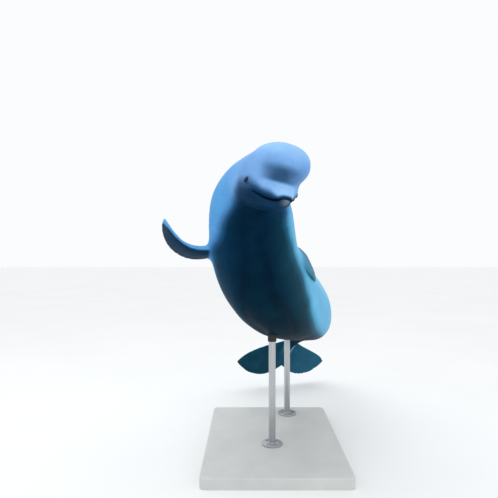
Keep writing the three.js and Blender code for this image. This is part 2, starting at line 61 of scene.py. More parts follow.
def smooth_curve(keys):
    """A smooth curve through [at, value] keys that never overshoots them."""
    at, value = (np.array(column, float) for column in zip(*keys))
    slope = np.diff(value) / np.diff(at)
    tangent = np.zeros(len(at))
    tangent[0], tangent[-1] = slope[0], slope[-1]
    for i in range(1, len(at) - 1):
        if slope[i - 1] * slope[i] > 0:
            tangent[i] = 2 / (1 / slope[i - 1] + 1 / slope[i])

    def curve(x):
        x = np.clip(x, at[0], at[-1])
        i = np.clip(np.searchsorted(at, x) - 1, 0, len(at) - 2)
        width = at[i + 1] - at[i]
        t = (x - at[i]) / width
        ends = value[i] * (2 * t**3 - 3 * t**2 + 1) + value[i + 1] * (3 * t**2 - 2 * t**3)
        return ends + width * (tangent[i] * (t**3 - 2 * t**2 + t) + tangent[i + 1] * (t**3 - t**2))

    return curve


def smooth_step(start, end, x):
    """0 before the start, 1 past the end and a soft change between them."""
    t = np.clip((x - start) / (end - start), 0, 1)
    return t * t * (3 - 2 * t)


def window(rise, fall, x):
    """1 between a rise and a fall, each given by where it starts and ends, and 0 outside them."""
    return smooth_step(*rise, x) * (1 - smooth_step(*fall, x))


def bump_at(distance, width):
    """A soft bump that is 1 at distance 0 and falls off over the width."""
    return np.exp(-((distance / width) ** 2))


def relief(distance, form):
    """A soft ridge, or a groove where its height is negative. The form is its height, place and width."""
    height, place, width = form
    return height * bump_at(distance - place, width)


def mix(first, second, share):
    """The first value where the share is 0, and the second where it is 1."""
    return first * (1 - share) + second * share


def make_active(piece):
    bpy.ops.object.select_all(action="DESELECT")
    piece.select_set(True)
    bpy.context.view_layer.objects.active = piece


def join_as(name, pieces):
    """Joins the pieces into the first one and names it."""
    make_active(pieces[0])
    for piece in pieces:
        piece.select_set(True)
    bpy.ops.object.join()
    pieces[0].name = pieces[0].data.name = name
    return pieces[0]


def apply_modifier(piece, kind, **settings):
    make_active(piece)
    modifier = piece.modifiers.new(kind.lower(), kind)
    for name, value in settings.items():
        setattr(modifier, name, value)
    bpy.ops.object.modifier_apply(modifier=modifier.name)


def points_of(mesh):
    points = np.empty(len(mesh.vertices) * 3)
    mesh.vertices.foreach_get("co", points)
    return points.reshape(-1, 3)


def normals_of(mesh):
    normals = np.empty(len(mesh.vertices) * 3)
    mesh.vertices.foreach_get("normal", normals)
    return normals.reshape(-1, 3)


def set_points(mesh, points):
    mesh.vertices.foreach_set("co", np.ascontiguousarray(points, np.float32).ravel())
    mesh.update()


def set_attribute(mesh, name, values):
    attribute = mesh.attributes.get(name) or mesh.attributes.new(name, "FLOAT", "POINT")
    attribute.data.foreach_set("value", np.ascontiguousarray(values, np.float32))


def box_corners(name):
    """A CAD node's lowest and highest corner as arrays."""
    return [np.array(corner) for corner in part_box(name)]


# The pose, as in the CAD source: the spine's direction and roll along the body, in degrees

PITCH = smooth_curve([
    (0, 104), (340, 100), (560, 60), (780, 36), (1000, 26), (1250, 38), (1500, 56), (1900, 69), (2600, 70),
    (3150, 70), (3550, 44), (3900, 20),
])
YAW = smooth_curve([
    (0, -24), (300, -24), (560, -15), (820, 3), (1000, 6), (1250, 18), (1500, 25), (2200, 23), (2900, 8),
    (3400, -26), (3900, -10),
])
ROLL = smooth_curve([(0, 17), (300, 17), (660, 0), (3000, 0), (3900, -15)])
SPINE_STEP, SPINE_LENGTH = 10, 4200
# Where along the spine the chest lies, and its place in the scene in millimetres
CHEST_AT, CHEST_PLACE = 1000, np.array([-172, -508, 1738])
# The head's and neck's middle lies this far above the spine, and comes down to it between two stations
NECK_RAISE, NECK_FALL = 35, (700, 1100)
# So many points at a time are compared with all the stations, which keeps the tables small
CHUNK = 4000


def tailward(x):
    """The spine's direction towards the tail, in the scene."""
    pitch, yaw = np.radians(PITCH(x)), np.radians(YAW(x))
    return np.stack([np.sin(yaw), np.cos(yaw) * np.sin(pitch), -np.cos(yaw) * np.cos(pitch)], -1)


def make_spine():
    """The stations along the spine, and at each one its place and its back, left and up directions."""
    x = np.arange(0, SPINE_LENGTH + 1, SPINE_STEP, dtype=float)
    steps = tailward(x + SPINE_STEP / 2) * SPINE_STEP
    place = np.vstack([np.zeros(3), np.cumsum(steps, 0)[:-1]])
    place += CHEST_PLACE - place[CHEST_AT // SPINE_STEP]
    back = tailward(x)
    left = np.array([1.0, 0, 0]) - back * back[:, :1]
    left /= np.linalg.norm(left, axis=1)[:, None]
    roll = np.radians(ROLL(x))[:, None]
    left = left * np.cos(roll) + np.cross(back, left) * np.sin(roll)
    return x, place, back, left, np.cross(left, back)


SPINE_X, SPINE_PLACE, SPINE_BACK, SPINE_LEFT, SPINE_UP = make_spine()


def straightened(points):
    """Points of the scene as (x, y, z) of the straight whale, in millimetres."""
    straight = np.empty_like(points)
    for start in range(0, len(points), CHUNK):
        part = points[start : start + CHUNK] / MM
        away = ((part[:, None] - SPINE_PLACE[None]) ** 2).sum(-1)
        i = away.argmin(1)
        offset = part - SPINE_PLACE[i]
        x = SPINE_X[i] + (offset * SPINE_BACK[i]).sum(1)
        y = (offset * SPINE_LEFT[i]).sum(1)
        raised = NECK_RAISE * (1 - smooth_step(*NECK_FALL, x))
        z = (offset * SPINE_UP[i]).sum(1) - raised
        straight[start : start + CHUNK] = np.stack([x, y, z], 1)
    return straight


def belly_angle(at):
    """How far round the body each point lies from the belly's middle line, in degrees."""
    return np.degrees(np.arctan2(np.abs(at[:, 1]), -at[:, 2]))


# The skin: copies of the flesh nodes grown until they join, made one surface, smoothed and shrunk back

VOXEL = 13 * MM
GROWTH = 8 * MM
MERGED_WITHIN = 0.01 * MM
WEIGHT_STEPS = 20


def copy_of(name):
    """A free copy of a CAD node with its loose triangles merged."""
    piece = bpy.data.objects.new("copy_" + name, NODES[name].data.copy())
    bpy.context.scene.collection.objects.link(piece)
    make_active(piece)
    bpy.ops.object.mode_set(mode="EDIT")
    bpy.ops.mesh.select_all(action="SELECT")
    bpy.ops.mesh.remove_doubles(threshold=MERGED_WITHIN)
    bpy.ops.mesh.normals_make_consistent(inside=False)
    bpy.ops.object.mode_set(mode="OBJECT")
    return piece


def smooth_by_weight(piece, weights, rounds):
    """Smooths each point as much as its weight says, from 0 to 1 in steps."""
    group = piece.vertex_groups.new(name="smoothing")
    levels = np.round(np.clip(weights, 0, 1) * WEIGHT_STEPS).astype(int)
    for level in np.unique(levels):
        if level:
            group.add(np.flatnonzero(levels == level).tolist(), level / WEIGHT_STEPS, "REPLACE")
    apply_modifier(piece, "SMOOTH", factor=0.5, iterations=rounds, vertex_group=group.name)
    piece.vertex_groups.clear()


FIN_NODES = ["fluke_left", "fluke_right", "flipper_left", "flipper_right"]
# A fin's own points lie in its box with this margin round it, in metres
FIN_MARGIN = 0.03
# A point starts to be the fin's at the first of these leads over the trunk, in metres, and is wholly so at
# the second
FIN_FROM, FIN_TO = -0.004, 0.03
# Points with more than the least share of a fin are laid on it, softly over these shares
FIN_LEAST, FIN_SETTLES = 0.02, (0.3, 0.9)


def tree_of(names):
    """A search tree over the surfaces of some CAD nodes."""
    corners, faces = [], []
    for name in names:
        mesh = NODES[name].data
        first = len(corners)
        corners += [vertex.co.copy() for vertex in mesh.vertices]
        faces += [[first + i for i in polygon.vertices] for polygon in mesh.polygons]
    return BVHTree.FromPolygons(corners, faces)


TRUNK_TREE = tree_of([name for name in FLESH if name not in FIN_NODES])
FIN_TREES = {name: tree_of([name]) for name in FIN_NODES}


def on_fins(points):
    """1 on the flippers and flukes, 0 on the body: a fin's points are nearer to it than to the trunk."""
    share = np.zeros(len(points))
    for name, tree in FIN_TREES.items():
        low, high = box_corners(name)
        inside = ((points > low - FIN_MARGIN) & (points < high + FIN_MARGIN)).all(1)
        for i in np.flatnonzero(inside):
            place = Vector(points[i])
            closer = TRUNK_TREE.find_nearest(place)[3] - tree.find_nearest(place)[3]
            share[i] = max(share[i], smooth_step(FIN_FROM, FIN_TO, closer))
    return share


def settled_on_fins(grown, shrunk, fins):
    """The shrunk points, with the fins' own laid on the CAD fins, which keeps their thin edges true."""
    settled = shrunk.copy()
    for i in np.flatnonzero(fins > FIN_LEAST):
        place = Vector(grown[i])
        found = [tree.find_nearest(place) for tree in FIN_TREES.values()]
        nearest = min(found, key=lambda hit: hit[3])[0]
        settled[i] = mix(shrunk[i], np.array(nearest), smooth_step(*FIN_SETTLES, fins[i]))
    return settled


# Where the long smoothing of the trunk rises and falls, and where the beak's falls
TRUNK_RISE, TRUNK_FALL = (380, 620), (3300, 3700)
BEAK_FALL = (50, 120)
# Rounds of smoothing: the trunk's and the whole skin's while it is grown, the whole skin's and the beak's
# when it is shrunk, and those after each split of faces
TRUNK_ROUNDS, GROWN_ROUNDS, SHRUNK_ROUNDS, BEAK_ROUNDS, SPLIT_ROUNDS = 60, 8, 4, 8, 4
# How much of the whole skin's smoothing the fins are spared, grown and shrunk
SPARED_GROWN, SPARED_SHRUNK = 0.6, 0.5


def make_base_skin():
    """The skin without its fine forms. The eyes' balls help to make it, so that it has no holes."""
    skin = join_as("beluga_skin", [copy_of(name) for name in FLESH + ["eye_left", "eye_right"]])
    skin.data.materials.clear()
    apply_modifier(skin, "DISPLACE", strength=GROWTH, mid_level=0)
    apply_modifier(skin, "REMESH", mode="VOXEL", voxel_size=VOXEL, use_smooth_shade=True)
    points = points_of(skin.data)
    at = straightened(points)
    fins = on_fins(points)
    smooth_by_weight(skin, window(TRUNK_RISE, TRUNK_FALL, at[:, 0]) * (1 - fins), TRUNK_ROUNDS)
    smooth_by_weight(skin, 1 - SPARED_GROWN * fins, GROWN_ROUNDS)
    grown = points_of(skin.data)
    apply_modifier(skin, "DISPLACE", strength=-GROWTH, mid_level=0)
    set_points(skin.data, settled_on_fins(grown, points_of(skin.data), fins))
    beak = 1 - smooth_step(*BEAK_FALL, at[:, 0])
    smooth_by_weight(skin, np.maximum(1 - SPARED_SHRUNK * fins, beak), SHRUNK_ROUNDS)
    smooth_by_weight(skin, beak, BEAK_ROUNDS)
    return skin


def refine(piece, wanted):
    """Splits the faces whose centres are wanted, and smooths them a little."""
    mesh = piece.data
    centres = np.empty(len(mesh.polygons) * 3)
    mesh.polygons.foreach_get("center", centres)
    chosen = wanted(straightened(centres.reshape(-1, 3)))
    make_active(piece)
    bpy.ops.object.mode_set(mode="EDIT")
    bpy.ops.mesh.select_mode(type="FACE")
    bpy.ops.mesh.select_all(action="DESELECT")
    bpy.ops.object.mode_set(mode="OBJECT")
    mesh.polygons.foreach_set("select", chosen)
    bpy.ops.object.mode_set(mode="EDIT")
    bpy.ops.mesh.subdivide(number_cuts=1)
    bpy.ops.object.mode_set(mode="OBJECT")
    smooth_by_weight(piece, wanted(straightened(points_of(mesh))).astype(float), SPLIT_ROUNDS)


# Where the finest forms lie on the straight whale

MOUTH_CORNER = 210
MOUTH_LINE = smooth_curve([
    (-60, -100), (0, -102), (20, -111), (48, -127), (95, -135), (150, -131), (185, -121), (210, -111),
])
# An eye's place seen from the side, and the least distance from the middle plane that is still its cheek
EYE_X, EYE_Z, CHEEK_FROM = 248, -57, 80
# The blowhole's rear edge, its crescent's radius and half its arc in degrees, and where the top begins
BLOWHOLE_X, BLOWHOLE_RADIUS, BLOWHOLE_ARC, TOP_FROM = 392, 30, 75, 60


def mouth_distance(at):
    """How far each point is above the line between the lips, and how far behind the mouth's corner."""
    x, z = at[:, 0], at[:, 2]
    above = z - MOUTH_LINE(np.minimum(x, MOUTH_CORNER))
    behind = np.maximum(x - MOUTH_CORNER, 0)
    return above, behind


def eye_distance(at):
    """How far each point is from the nearer eye, seen from the side."""
    near = np.hypot(at[:, 0] - EYE_X, at[:, 2] - EYE_Z)
    return np.where(np.abs(at[:, 1]) > CHEEK_FROM, near, FAR)


def blowhole_distance(at):
    """How far each point is from the blowhole's crescent, whose horns point forwards, seen from above."""
    dx, dy = at[:, 0] - (BLOWHOLE_X - BLOWHOLE_RADIUS), at[:, 1]
    half_arc = math.radians(BLOWHOLE_ARC)
    angle = np.clip(np.arctan2(dy, dx), -half_arc, half_arc)
    nearest = np.stack([BLOWHOLE_RADIUS * np.cos(angle), BLOWHOLE_RADIUS * np.sin(angle)])
    near = np.hypot(dx - nearest[0], dy - nearest[1])
    return np.where(at[:, 2] > TOP_FROM, near, FAR)


# How far from the mouth's line, its corner, the eyes and the blowhole the faces are split again
FACE_AREA = {"mouth": 30, "corner": 24, "eye": 55, "blowhole": 24}
FINE_AREA = {"mouth": 13, "corner": 12, "eye": 34, "blowhole": 10}
# The first split: the head back to a station, and a wider area round the eyes and the blowhole
HEAD_AREA = {"head": 300, "eye": 100, "blowhole": 55}


def near_forms(at, area):
    """True near the mouth, the eyes and the blowhole."""
    above, behind = mouth_distance(at)
    mouth = (np.abs(above) < area["mouth"]) & (behind < area["corner"])
    return mouth | (eye_distance(at) < area["eye"]) | (blowhole_distance(at) < area["blowhole"])


def is_head(at):
    """The beak and melon, and the areas round the eyes and the blowhole."""
    round_forms = (eye_distance(at) < HEAD_AREA["eye"]) | (blowhole_distance(at) < HEAD_AREA["blowhole"])
    return (at[:, 0] < HEAD_AREA["head"]) | round_forms


def is_face(at):
    return near_forms(at, FACE_AREA)


def is_fine(at):
    return near_forms(at, FINE_AREA)


# The skin's forms: each function gives how far the skin moves out along its normal, in millimetres

LIP_GROOVE, LIP_ROLL, LIP_ROLL_END = (-13, 0, 4.2), (4.0, 13, 8), 20
# The groove loses this share of its depth from here back to the mouth's corner
GROOVE_LOSS, GROOVE_LOSS_FROM = 0.55, 150
CORNER_FOLD, CORNER_FOLD_PLACE, CORNER_FOLD_FROM = (-2.5, 11, 5), (220, -112), MOUTH_CORNER + 4
MOUTH_FORM_END = 300
# The lower lip's rounded tip: its place and width, and the heights over which it comes in downwards
LIP_TIP_X, LIP_TIP_WIDTH, LIP_TIP_RISE = -2, 30, (-102, -112)


def mouth_form(at):
    """The groove between the lips, the roll along each lip and the fold round the mouth's corner."""
    above, behind = mouth_distance(at)
    depth = 1 - GROOVE_LOSS * smooth_step(GROOVE_LOSS_FROM, MOUTH_CORNER, at[:, 0])
    groove = depth * relief(np.hypot(above, behind), LIP_GROOVE)
    roll = relief(np.abs(above), LIP_ROLL) * bump_at(behind, LIP_ROLL_END)
    corner = np.hypot(at[:, 0] - CORNER_FOLD_PLACE[0], at[:, 2] - CORNER_FOLD_PLACE[1])
    corner_fold = relief(corner, CORNER_FOLD) * (at[:, 0] > CORNER_FOLD_FROM)
    return np.where(at[:, 0] < MOUTH_FORM_END, groove + roll + corner_fold, 0)


def lip_tip(at):
    """1 on the rounded tip of the lower lip, where a light grey is painted as the light on it, 0 away from
    it.
    """
    away = np.hypot(at[:, 0] - LIP_TIP_X, at[:, 1])
    return bump_at(away, LIP_TIP_WIDTH) * smooth_step(*LIP_TIP_RISE, at[:, 2])


BLOWHOLE_SLIT, BLOWHOLE_RIM = (-9, 0, 4.5), (3, 11, 7)


def blowhole_form(at):
    away = blowhole_distance(at)
    return relief(away, BLOWHOLE_SLIT) + relief(away, BLOWHOLE_RIM)


THROAT_RISE, THROAT_FALL = (430, 520), (820, 960)
# The folds are whole in the throat's middle, and end at the second of these angles round from it
THROAT_SIDES = (60, 130)
THROAT_DEPTH, THROAT_SPACING, THROAT_SHARPNESS = 3.2, 74, 3
# Each fold wavers: by so many millimetres, in so many waves per turn
THROAT_WAVES = ((14, 3), (9, 7))


def ring_folds(at):
    """Shallow folds round the throat, where the neck bends."""
    x, angle = at[:, 0], belly_angle(at)
    reach = window(THROAT_RISE, THROAT_FALL, x) * (1 - smooth_step(*THROAT_SIDES, angle))
    wobble = sum(size * np.sin(np.radians(angle) * waves) for size, waves in THROAT_WAVES)
    fold = np.maximum(np.cos((x + wobble) * 2 * math.pi / THROAT_SPACING), 0) ** THROAT_SHARPNESS
    return -THROAT_DEPTH * reach * fold


BELLY_RISE, BELLY_FALL = (820, 1150), (2300, 2800)
# Heights in millimetres, places and widths in degrees from the belly's middle line
BELLY_GROOVE, BELLY_ROLL, BELLY_SIDE = (-7, 20, 7), (7, 36, 12), 90
# Points further than this from the spine are the flippers', which have no rolls
BELLY_RADIUS = 420
# How the rolls waver: degrees, millimetres along the body, and millimetres across it for the second wave
SLOW_WAVE, QUICK_WAVE = (5, 190), (3, 83, 60)


def belly_folds(at):
    """The soft rolls of fat along a beluga's belly, on either side of its middle line."""
    x, y = at[:, 0], at[:, 1]
    angle = belly_angle(at)
    wobble = SLOW_WAVE[0] * np.sin(x / SLOW_WAVE[1])
    wobble = wobble + QUICK_WAVE[0] * np.sin(x / QUICK_WAVE[1] + y / QUICK_WAVE[2])
    groove = relief(angle - wobble, BELLY_GROOVE) * (angle < BELLY_SIDE)
    roll = relief(angle - wobble, BELLY_ROLL)
    on_belly = np.hypot(y, at[:, 2]) < BELLY_RADIUS
    return window(BELLY_RISE, BELLY_FALL, x) * on_belly * (groove + roll)


RIDGE_RISE, RIDGE_FALL = (1700, 1850), (2250, 2450)
RIDGE_WIDTH, RIDGE_HEIGHT, NOTCH_DEPTH = 26, 4, 7
# The notches' wave length in millimetres for each radian, and how the notches drift along the ridge
NOTCH_LENGTH, NOTCH_DRIFT, NOTCH_DRIFT_LENGTH = 17, 1.3, 41


def ridge_form(at):
    """The rough, notched ridge on the back."""
    x = at[:, 0]
    drift = NOTCH_DRIFT * np.sin(x / NOTCH_DRIFT_LENGTH)
    notches = 0.5 + 0.5 * np.sin(x / NOTCH_LENGTH + drift)
    on_back = bump_at(at[:, 1], RIDGE_WIDTH) * (at[:, 2] > 0)
    return window(RIDGE_RISE, RIDGE_FALL, x) * on_back * (RIDGE_HEIGHT - NOTCH_DEPTH * notches)


# How far out each of the nape's forms lies, its middle on either side and its half sizes
NAPE_FORMS = (
    (7, (310, 125, 150), (75, 70, 65)),
    (-15, (465, 160, 120), (100, 85, 75)),
)


def nape_form(at):
    """A fuller dip behind the melon and a hollow on each side of the nape, so that head and neck run on."""
    place = np.stack([at[:, 0], np.abs(at[:, 1]), at[:, 2]], 1)
    total = np.zeros(len(at))
    for height, middle, half in NAPE_FORMS:
        away = np.sqrt((((place - middle) / half) ** 2).sum(1))
        total += height * bump_at(away, 1)
    return total


def skin_form(at):
    fine = mouth_form(at) + blowhole_form(at) + ridge_form(at)
    return fine + ring_folds(at) + belly_folds(at) + nape_form(at)


# The lids. Distances from the eye's opening are in its own half sizes, so that 1 is its edge

EYE_RADIUS, SOCKET_DEPTH, LID_THICKNESS = 20, 12, 1.4
# The skin this near to an eye gives the direction in which it looks
EYE_AREA = 55
# The opening's half length and half height, how soft its edge is and how much it slants
EYE_OPEN, OPEN_EDGE, EYE_SLANT = (16.5, 12), (0.9, 1.05), 0.1
LID_RIM, UPPER_LID_GAIN, UPPER_LID_RISE = (3.5, 1.2, 0.24), 0.35, (0, 6)
LID_FOLDS = ((-1.6, 1.85, 0.16), (-1.2, 2.55, 0.2), (-2.5, 2.2, 1.1))
# The folds fade between these distances from the eye's middle, and no point further out or deeper in moves
LIDS_FALL, LIDS_END, LIDS_DEPTH = (40, 70), 75, -60


def eye_axes(side, points, normals):
    """The middle of an eye, and the outward, forward and upward directions of the skin round it."""
    low, high = box_corners("eye_left" if side > 0 else "eye_right")
    middle = (low + high) / 2
    near = np.linalg.norm(points - middle, axis=1) < EYE_AREA * MM
    out = normals[near].sum(0)
    out /= np.linalg.norm(out)
    forward = -SPINE_BACK[int(round(EYE_X / SPINE_STEP))]
    forward = forward - out * (forward @ out)
    forward /= np.linalg.norm(forward)
    return middle, out, forward, np.cross(out, forward) * side


def shape_lids(points, axes):
    """Opens the skin over an eye and closes two lids round the ball."""
    middle, out, forward, up = axes
    offset = (points - middle) / MM
    ahead, high, proud = offset @ forward, offset @ up, offset @ out
    slanted = high + EYE_SLANT * ahead
    away = np.hypot(ahead, high)
    from_opening = np.hypot(ahead / EYE_OPEN[0], slanted / EYE_OPEN[1])
    ball = np.sqrt(np.maximum(EYE_RADIUS**2 - away**2, 0))
    upper_gain = UPPER_LID_GAIN * np.sign(slanted) * smooth_step(*UPPER_LID_RISE, np.abs(slanted))
    lids = relief(from_opening, LID_RIM) * (1 + upper_gain)
    for fold in LID_FOLDS:
        lids = lids + relief(from_opening, fold)
    level = proud + (1 - smooth_step(*LIDS_FALL, away)) * lids
    over_ball = np.where(away < EYE_RADIUS + 1, ball + LID_THICKNESS, -EYE_RADIUS)
    level = mix(ball - SOCKET_DEPTH, np.maximum(level, over_ball), smooth_step(*OPEN_EDGE, from_opening))
    moved = points + np.outer((level - proud) * MM, out)
    near = (away < LIDS_END) & (proud > LIDS_DEPTH)
    return np.where(near[:, None], moved, points)


# The skin's paint: each is one number at every corner of the mesh, which the material turns into colour.
# The tone holds painted light and shade: painted shade on the belly, jaw, cheek, fins' undersides and
# creases, painted light on the back, crown and fins' tops. Tones run from 0, the darkest blue, to 1, the
# palest

# How far up from the belly's middle line the painted shade of the underside reaches on each flank, in degrees
BELLY_SHADE_ON_RIGHT = smooth_curve([
    (200, 66), (310, 66), (410, 50), (470, 41), (560, 38), (760, 46), (880, 53), (1000, 68), (1300, 70),
    (1600, 56), (2200, 50), (3900, 60),
])
BELLY_SHADE_ON_LEFT = smooth_curve([
    (200, 66), (310, 66), (410, 56), (620, 70), (800, 61), (1000, 63), (1330, 72), (1500, 66), (1700, 52),
    (2000, 40), (2600, 30), (3900, 40),
])
# Half the width of its soft edge, and what the head's edge has more
BELLY_SHADE_EDGE, HEAD_EDGE_GAIN, HEAD_EDGE_FALL = 15, 8, (350, 550)
# The front edge of the right flipper, which takes painted light, from its root out to its tip
FLIPPER_LEAD = smooth_curve([
    (250, 968), (322, 965), (377, 956), (431, 937), (486, 906), (543, 866), (613, 836), (680, 845),
])


def out_of_belly_shade(at):
    """1 on the pale back and flanks, 0 on the belly and throat, which are painted dark as shade."""
    x = at[:, 0]
    edge = np.where(at[:, 1] < 0, BELLY_SHADE_ON_RIGHT(x), BELLY_SHADE_ON_LEFT(x))
    soft = BELLY_SHADE_EDGE + HEAD_EDGE_GAIN * (1 - smooth_step(*HEAD_EDGE_FALL, x))
    return smooth_step(edge - soft, edge + soft, belly_angle(at))


# The melon's tone, the painted light that its crown has more between two heights, and where the melon comes
# in over the lip
MELON_TONE, CROWN_LIGHT_GAIN, CROWN_LIGHT_RISE, MELON_RISE = 0.7, 0.19, (80, 190), (-40, 0)
LIP_TONE, LIP_GAIN, LIP_GAIN_FALL = 0.78, 0.14, (20, 120)
# Painted shade on the lip's lower edge: the pale lip comes in from just under the mouth's line,
# over a band that is wider further back
LIP_FROM, LIP_SHADE_BAND, LIP_SHADE_BAND_GAIN, LIP_SHADE_BAND_RISE = -4, 36, 44, (30, 110)
# The shade under the melon: its heights, where it ends behind, its middle, width and depth
SHADE_RISE, SHADE_FALL, SHADE_END = (-36, -10), (40, 100), (90, 200)
SHADE_SIDE, SHADE_WIDTH, SHADE_DEPTH = -55, 115, 0.44
# Painted shade: the lower jaw's tone, the darkest share of the melon's tone on the cheek, and where the cheek
# takes over behind the mouth
JAW_SHADE_TONE, CHEEK_SHADE, CHEEK_RISE = 0.13, 0.15, (MOUTH_CORNER - 70, MOUTH_CORNER + 30)


def face_tone(at):
    """The head's tone: pale melon and upper lip, painted light on the crown, and painted shade on jaw, cheek,
    lip edge and under the melon.
    """
    x, side, z = at.T
    above = mouth_distance(at)[0]
    melon = MELON_TONE + CROWN_LIGHT_GAIN * smooth_step(*CROWN_LIGHT_RISE, z)
    shade = window(SHADE_RISE, SHADE_FALL, z) * bump_at(side - SHADE_SIDE, SHADE_WIDTH)
    shade = shade * (1 - smooth_step(*SHADE_END, x))
    shaded_band = LIP_SHADE_BAND + LIP_SHADE_BAND_GAIN * smooth_step(*LIP_SHADE_BAND_RISE, x)
    upper_lip = LIP_TONE + LIP_GAIN * (1 - smooth_step(*LIP_GAIN_FALL, x))
    upper_lip = upper_lip * smooth_step(LIP_FROM, shaded_band, above)
    front = mix(upper_lip, melon, smooth_step(*MELON_RISE, z)) * (1 - SHADE_DEPTH * shade)
    # The cheek is painted into shade towards the throat
    cheek = melon * mix(CHEEK_SHADE, 1, out_of_belly_shade(at))
    return mix(np.where(above > 0, front, JAW_SHADE_TONE), cheek, smooth_step(*CHEEK_RISE, x))


# How far a surface faces the back before it takes painted light, and the flank before the left flipper does
LIT_TOP_RISE, LIT_OUTER_RISE = (-0.2, 0.5), (0.35, 1)
# The fins' tones in painted shade and in painted light, and the painted light on the flukes' left side
FLUKES_FROM, FLUKE_SHADE, FLUKE_LIT, FLUKE_SIDE_LIGHT, FLUKE_SIDE_LIGHT_RISE = 2500, 0.22, 0.74, 0.16, (-250, 350)
RIGHT_FLIPPER_SHADE, RIGHT_FLIPPER_LIGHT, LEAD_FALL = 0.14, 0.64, (10, 30)
LEFT_FLIPPER_SHADE, LEFT_FLIPPER_LIGHT = 0.12, 0.36


def fin_light_and_shade(at, normals):
    """The flippers' and flukes' tone: painted light on their upper side and front edge, painted shade
    underneath.
    """
    x, side, _ = at.T
    station = np.clip(x / SPINE_STEP, 0, len(SPINE_X) - 1).astype(int)
    lit_top = smooth_step(*LIT_TOP_RISE, (normals * SPINE_UP[station]).sum(1))
    outer = smooth_step(*LIT_OUTER_RISE, (normals * SPINE_LEFT[station]).sum(1))
    flukes = mix(FLUKE_SHADE + FLUKE_SIDE_LIGHT * smooth_step(*FLUKE_SIDE_LIGHT_RISE, side), FLUKE_LIT, lit_top)
    lit_lead = 1 - smooth_step(*LEAD_FALL, x - FLIPPER_LEAD(np.abs(side)))
    right = RIGHT_FLIPPER_SHADE + RIGHT_FLIPPER_LIGHT * np.maximum(lit_lead, lit_top)
    left = LEFT_FLIPPER_SHADE + LEFT_FLIPPER_LIGHT * outer
    return np.where(x > FLUKES_FROM, flukes, np.where(side < 0, right, left))


# The body's tone: the belly's, in painted shade, and what the lower flank, the pale flank and the back's top,
# painted as lit, have more
BELLY_SHADE_TONE, LOW_FLANK_GAIN, FLANK_GAIN, BACK_LIGHT_GAIN = 0.02, 0.2, 0.52, 0.1
LOW_FLANK_RISE, BACK_RISE, BACK_HEIGHT = (12, 62), (0.5, 1), (0, 120)
FACE_FALL = (330, 470)
# Where the head's blue gives way, and where the tail's comes in along the body and on the left flank
HEAD_BLUE_FALL, TAIL_BLUE_RISE = (300, 620), (850, 1500)
FLANK_BLUE_SIDE, FLANK_BLUE_RISE = (60, 220), (420, 950)
# How wide the painted shade in the creases is, where it starts and ends, and how dark the eyes' and the
# belly's get
MOUTH_CREASE, MOUTH_CREASE_END, BLOWHOLE_CREASE = 5.5, MOUTH_CORNER + 40, 6
EYE_CREASE_FROM, EYE_CREASE, EYE_CREASE_DARK = 15, 9, 0.8
FOLD_CREASE_DEPTH, FOLD_CREASE_DARK = 12, 0.35


# Painted shade on the belly, and painted light that makes the top of the back paler
def body_tone(at):
    shade = out_of_belly_shade(at)
    back = smooth_step(*BACK_RISE, shade) * smooth_step(*BACK_HEIGHT, at[:, 2])
    low_flank = smooth_step(*LOW_FLANK_RISE, belly_angle(at))
    return BELLY_SHADE_TONE + LOW_FLANK_GAIN * low_flank + FLANK_GAIN * shade + BACK_LIGHT_GAIN * back


def crease_shade(at):
    """Painted shade: 1 in the mouth's groove, at the eyes' edges and in the blowhole, less in the belly's
    folds.
    """
    mouth = bump_at(np.hypot(*mouth_distance(at)), MOUTH_CREASE) * (at[:, 0] < MOUTH_CREASE_END)
    eyes = bump_at(np.maximum(eye_distance(at) - EYE_CREASE_FROM, 0), EYE_CREASE)
    blowhole = bump_at(blowhole_distance(at), BLOWHOLE_CREASE)
    folds = np.clip(-belly_folds(at) / FOLD_CREASE_DEPTH, 0, FOLD_CREASE_DARK)
    return np.max([mouth, EYE_CREASE_DARK * eyes, blowhole, folds], 0)


def paint(skin):
    mesh = skin.data
    points = points_of(mesh)
    at = straightened(points)
    x = at[:, 0]
    # The tone is painted light and shade on the body, the head and the fins
    tone = mix(body_tone(at), face_tone(at), 1 - smooth_step(*FACE_FALL, x))
    tone = mix(tone, fin_light_and_shade(at, normals_of(mesh)), on_fins(points))
    left_flank = smooth_step(*FLANK_BLUE_SIDE, at[:, 1]) * smooth_step(*FLANK_BLUE_RISE, x)
    set_attribute(mesh, "tone", tone)
    set_attribute(mesh, "headward", 1 - smooth_step(*HEAD_BLUE_FALL, x))
    set_attribute(mesh, "tailward", np.maximum(smooth_step(*TAIL_BLUE_RISE, x), left_flank))
    set_attribute(mesh, "crease_shade", crease_shade(at))
    set_attribute(mesh, "lip_tip_light", lip_tip(at))


# Materials: a noise's scale is one over the size of its patches in metres

# Most of a noise's values lie between these
NOISE_LOW, NOISE_HIGH = 0.3, 0.7


def linear(hex_color):
    """An sRGB hex colour as linear red, green, blue and alpha."""
    parts = [int(hex_color[i : i + 2], 16) / 255 for i in (1, 3, 5)]
    return [c / 12.92 if c <= 0.04045 else ((c + 0.055) / 1.055) ** 2.4 for c in parts] + [1.0]


def add_node(material, kind, settings=(), **links):
    """Adds a node, sets its properties, and sets or links its inputs, each by name or as i and its number."""
    node = material.node_tree.nodes.new(kind)
    for name, value in dict(settings).items():
        setattr(node, name, value)
    for name, value in links.items():
        numbered = name[0] == "i" and name[1:].isdigit()
        socket = node.inputs[int(name[1:]) if numbered else name.replace("_", " ")]
        if isinstance(value, bpy.types.NodeSocket):
            material.node_tree.links.new(value, socket)
        else:
            socket.default_value = value
    return node


def new_material(name):
    """A material, its shader and the place on the object that its patterns follow."""
    material = bpy.data.materials.new(name)
    material.use_nodes = True
    place = add_node(material, "ShaderNodeTexCoord").outputs["Object"]
    return material, material.node_tree.nodes["Principled BSDF"], place


